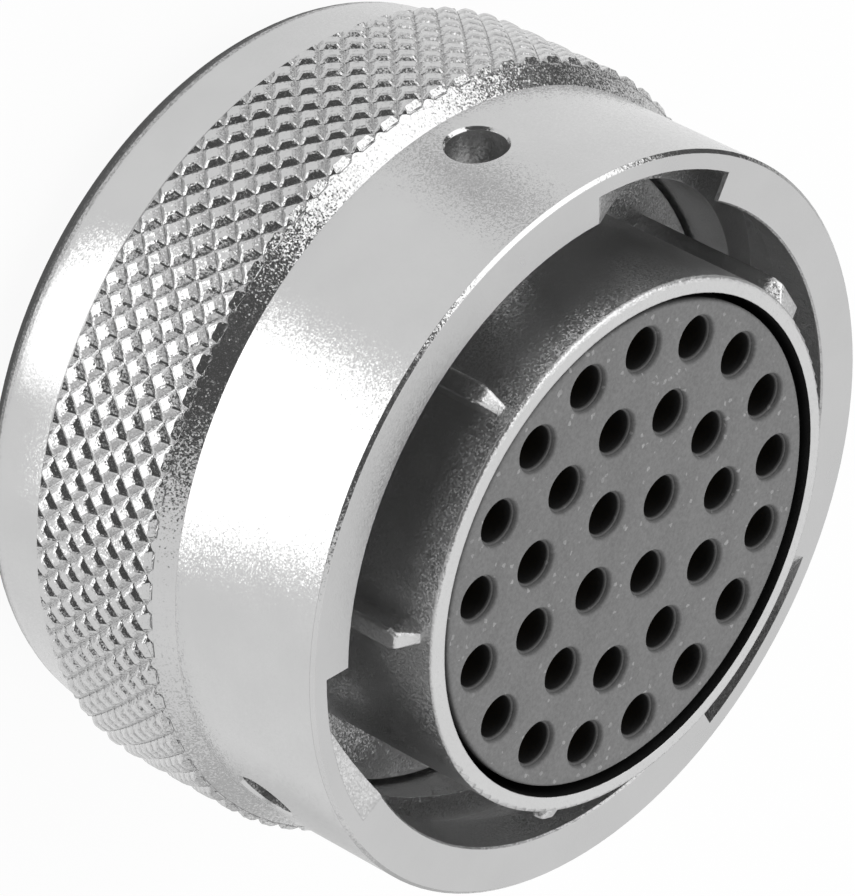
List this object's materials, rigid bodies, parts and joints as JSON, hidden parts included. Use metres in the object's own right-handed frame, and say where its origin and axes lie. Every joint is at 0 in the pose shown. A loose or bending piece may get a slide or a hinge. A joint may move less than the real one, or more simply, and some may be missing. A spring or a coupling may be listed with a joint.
{
  "type": "bayonet circular connector",
  "caption": "Round multi-contact plug with a keyed barrel, a moulded socket insert and a knurled coupling ring that turns and locks by bayonet grooves.",
  "frame": {"origin": "centre of the shell's flat rear end, on which the plug stands", "axes": "+Z along the mating axis, towards the face that meets the receptacle; +Y towards the wide master key"},
  "size_m": [0.0346, 0.0346, 0.0227],
  "materials": {
    "ring_nickel": "aluminium, bead blasted and matte nickel plated",
    "shell_nickel": "aluminium, machined and nickel plated",
    "spring_steel": "stamped stainless spring steel",
    "washer_steel": "stamped stainless steel",
    "insert_plastic": "matte grey moulded insulator",
    "contact_gold": "turned copper alloy, gold plated"
  },
  "bodies": {
    "plug": {"plug_shell": "shell_nickel", "insert": "insert_plastic", "wave_washer": "spring_steel", "outer_contact_01": "contact_gold", "outer_contact_02": "contact_gold", "outer_contact_03": "contact_gold", "outer_contact_04": "contact_gold", "outer_contact_05": "contact_gold", "outer_contact_06": "contact_gold", "outer_contact_07": "contact_gold", "outer_contact_08": "contact_gold", "outer_contact_09": "contact_gold", "outer_contact_10": "contact_gold", "outer_contact_11": "contact_gold", "outer_contact_12": "contact_gold", "outer_contact_13": "contact_gold", "outer_contact_14": "contact_gold", "outer_contact_15": "contact_gold", "outer_contact_16": "contact_gold", "outer_contact_17": "contact_gold", "middle_contact_01": "contact_gold", "middle_contact_02": "contact_gold", "middle_contact_03": "contact_gold", "middle_contact_04": "contact_gold", "middle_contact_05": "contact_gold", "middle_contact_06": "contact_gold", "middle_contact_07": "contact_gold", "middle_contact_08": "contact_gold", "middle_contact_09": "contact_gold", "middle_contact_10": "contact_gold", "middle_contact_11": "contact_gold", "inner_contact_01": "contact_gold", "inner_contact_02": "contact_gold", "inner_contact_03": "contact_gold", "inner_contact_04": "contact_gold"},
    "pressure_washer": {"thrust_washer": "washer_steel"},
    "coupling": {"coupling_ring": "ring_nickel", "retaining_ring": "spring_steel"}
  },
  "joints": [
    {"name": "coupling_float", "type": "slide", "parent": "plug", "child": "pressure_washer", "axis": [0, 0, 1], "range_m": [0, 0.0008], "stiffness_N_per_m": 4000, "springref_m": -0.0002, "deforming": ["wave_washer"]},
    {"name": "coupling_turn", "type": "hinge", "parent": "pressure_washer", "child": "coupling", "pos_m": [0, 0, 0.0129], "axis": [0, 0, 1], "continuous": true}
  ]
}
